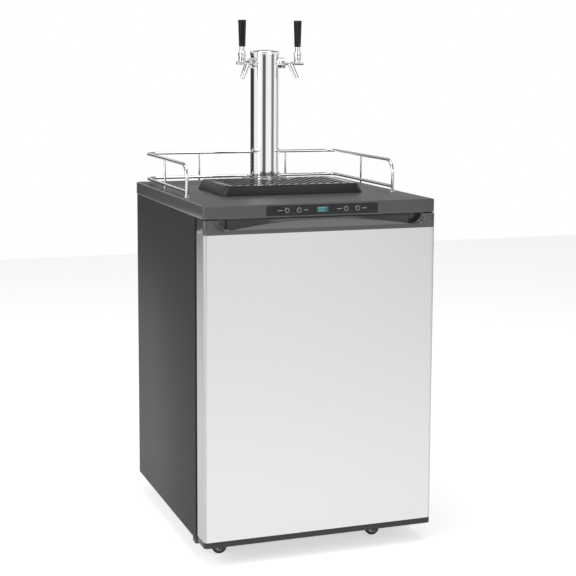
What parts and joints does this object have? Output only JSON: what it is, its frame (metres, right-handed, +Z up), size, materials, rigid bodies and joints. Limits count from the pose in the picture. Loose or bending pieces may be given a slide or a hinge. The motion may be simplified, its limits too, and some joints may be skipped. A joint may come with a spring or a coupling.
{
  "type": "kegerator",
  "caption": "Wheeled refrigerated cabinet with a hinged steel door, chrome draft tower with lever taps, drip tray and guard rail, for a beer keg.",
  "frame": {"origin": "on the floor under the middle of the cabinet's overall box", "axes": "+Z up, -Y out of the door, +X to the right of someone facing the door"},
  "size_m": [0.6, 0.683, 1.324],
  "materials": {
    "cabinet_paint": "satin",
    "back_panel": "satin",
    "pan_steel": "satin",
    "white_plastic": "satin",
    "foam": "matte",
    "worktop_plastic": "textured",
    "panel_plastic": "satin",
    "display_glass": "polished",
    "board_green": "satin",
    "evaporator_metal": "satin",
    "keg_plate_metal": "brushed",
    "compressor_paint": "satin",
    "black_plastic": "matte",
    "rubber_parts": "matte",
    "hinge_steel": "satin",
    "rail_chrome": "polished",
    "tower_chrome": "polished",
    "fastener_steel": "polished",
    "tower_foam": "matte",
    "tap_chrome": "polished",
    "tap_brass": "satin",
    "handle_plastic": "polished",
    "tray_plastic": "satin",
    "door_steel": "brushed",
    "trim_plastic": "satin",
    "foot_trim_plastic": "satin",
    "button_plastic": "satin",
    "caster_frame": "satin",
    "caster_tyre": "matte"
  },
  "bodies": {
    "cabinet": {"cabinet_shell": "cabinet_paint", "cabinet_back": "back_panel", "machine_cover": "back_panel", "base_pan": "pan_steel", "cabinet_liner": "white_plastic", "fan_housing": "white_plastic", "cabinet_foam": "foam", "worktop": "worktop_plastic", "control_panel": "panel_plastic", "display_window": "display_glass", "control_board": "board_green", "evaporator_plate": "evaporator_metal", "keg_floor_plate": "keg_plate_metal", "compressor": "compressor_paint", "condenser_coil": "compressor_paint", "evaporation_pan": "black_plastic", "power_inlet": "black_plastic", "gas_grommet": "rubber_parts", "upper_hinge": "hinge_steel", "lower_hinge": "hinge_steel", "rail_upper": "rail_chrome", "rail_lower": "rail_chrome", "rail_posts": "rail_chrome", "tower_column": "tower_chrome", "tower_cap": "tower_chrome", "tower_base": "tower_chrome", "tower_screws": "fastener_steel", "tower_insulation": "tower_foam", "faucet_shanks": "tap_chrome", "coupling_nuts": "tap_chrome", "faucet_left": "tap_chrome", "faucet_right": "tap_chrome", "shank_locknuts": "tap_brass"},
    "door": {"door_skin": "door_steel", "door_top_trim": "trim_plastic", "door_bottom_trim": "foot_trim_plastic", "door_liner": "white_plastic", "door_foam": "foam", "door_gasket": "rubber_parts"},
    "fan": {"fan_rotor": "black_plastic"},
    "tray": {"drip_tray": "tray_plastic"},
    "grille": {"drip_grille": "tray_plastic"},
    "lever_left": {"tap_lever_left": "tap_chrome", "tap_handle_left": "handle_plastic"},
    "valve_left": {"valve_shaft_left": "tap_brass"},
    "lever_right": {"tap_lever_right": "tap_chrome", "tap_handle_right": "handle_plastic"},
    "valve_right": {"valve_shaft_right": "tap_brass"},
    "button_power": {"button_power": "button_plastic"},
    "button_light": {"button_light": "button_plastic"},
    "button_colder": {"button_colder": "button_plastic"},
    "button_warmer": {"button_warmer": "button_plastic"},
    "fork_front_left": {"caster_fork_front_left": "caster_frame"},
    "wheel_front_left": {"caster_wheel_front_left": "caster_tyre"},
    "fork_front_right": {"caster_fork_front_right": "caster_frame"},
    "wheel_front_right": {"caster_wheel_front_right": "caster_tyre"},
    "fork_rear_left": {"caster_fork_rear_left": "caster_frame"},
    "wheel_rear_left": {"caster_wheel_rear_left": "caster_tyre"},
    "fork_rear_right": {"caster_fork_rear_right": "caster_frame"},
    "wheel_rear_right": {"caster_wheel_rear_right": "caster_tyre"}
  },
  "joints": [
    {"name": "door_hinge", "type": "hinge", "parent": "cabinet", "child": "door", "pos_m": [0.287, -0.3065, 0.44], "axis": [0, 0, 1], "range_deg": [0, 115]},
    {"name": "tray_lift", "type": "slide", "parent": "cabinet", "child": "tray", "axis": [0, 0, 1], "range_m": [0, 0.06]},
    {"name": "grille_lift", "type": "slide", "parent": "tray", "child": "grille", "axis": [0, 0, 1], "range_m": [0, 0.06]},
    {"name": "fan_spin", "type": "hinge", "parent": "cabinet", "child": "fan", "pos_m": [0, 0.2733, 0.69], "axis": [0, -1, 0], "continuous": true},
    {"name": "tap_left", "type": "hinge", "parent": "cabinet", "child": "lever_left", "pos_m": [-0.0777, 0.06119, 1.226], "axis": [0.4695, -0.8829, 0], "range_deg": [0, 30]},
    {"name": "valve_left_slide", "type": "slide", "parent": "cabinet", "child": "valve_left", "axis": [0.8829, 0.4695, 0], "range_m": [0, 0.0078]},
    {"name": "tap_right", "type": "hinge", "parent": "cabinet", "child": "lever_right", "pos_m": [0.0777, 0.06119, 1.226], "axis": [0.4695, 0.8829, 0], "range_deg": [0, 30]},
    {"name": "valve_right_slide", "type": "slide", "parent": "cabinet", "child": "valve_right", "axis": [-0.8829, 0.4695, 0], "range_m": [0, 0.0078]},
    {"name": "press_power", "type": "slide", "parent": "cabinet", "child": "button_power", "axis": [0, 1, 0], "range_m": [0, 0.0008], "stiffness_N_per_m": 200},
    {"name": "press_light", "type": "slide", "parent": "cabinet", "child": "button_light", "axis": [0, 1, 0], "range_m": [0, 0.0008], "stiffness_N_per_m": 200},
    {"name": "press_colder", "type": "slide", "parent": "cabinet", "child": "button_colder", "axis": [0, 1, 0], "range_m": [0, 0.0008], "stiffness_N_per_m": 200},
    {"name": "press_warmer", "type": "slide", "parent": "cabinet", "child": "button_warmer", "axis": [0, 1, 0], "range_m": [0, 0.0008], "stiffness_N_per_m": 200},
    {"name": "swivel_front_left", "type": "hinge", "parent": "cabinet", "child": "fork_front_left", "pos_m": [-0.206, -0.2435, 0.046], "axis": [0, 0, 1], "continuous": true},
    {"name": "roll_front_left", "type": "hinge", "parent": "fork_front_left", "child": "wheel_front_left", "pos_m": [-0.234, -0.2435, 0.019], "axis": [0, 1, 0], "continuous": true},
    {"name": "swivel_front_right", "type": "hinge", "parent": "cabinet", "child": "fork_front_right", "pos_m": [0.206, -0.2435, 0.046], "axis": [0, 0, 1], "continuous": true},
    {"name": "roll_front_right", "type": "hinge", "parent": "fork_front_right", "child": "wheel_front_right", "pos_m": [0.178, -0.2435, 0.019], "axis": [0, 1, 0], "continuous": true},
    {"name": "swivel_rear_left", "type": "hinge", "parent": "cabinet", "child": "fork_rear_left", "pos_m": [-0.206, 0.2935, 0.046], "axis": [0, 0, 1], "continuous": true},
    {"name": "roll_rear_left", "type": "hinge", "parent": "fork_rear_left", "child": "wheel_rear_left", "pos_m": [-0.234, 0.2935, 0.019], "axis": [0, 1, 0], "continuous": true},
    {"name": "swivel_rear_right", "type": "hinge", "parent": "cabinet", "child": "fork_rear_right", "pos_m": [0.206, 0.2935, 0.046], "axis": [0, 0, 1], "continuous": true},
    {"name": "roll_rear_right", "type": "hinge", "parent": "fork_rear_right", "child": "wheel_rear_right", "pos_m": [0.178, 0.2935, 0.019], "axis": [0, 1, 0], "continuous": true}
  ],
  "couplings": [
    {"joint": "valve_left_slide", "follows": "tap_left", "m_per_rad": 0.0146},
    {"joint": "valve_right_slide", "follows": "tap_right", "m_per_rad": 0.0146}
  ]
}
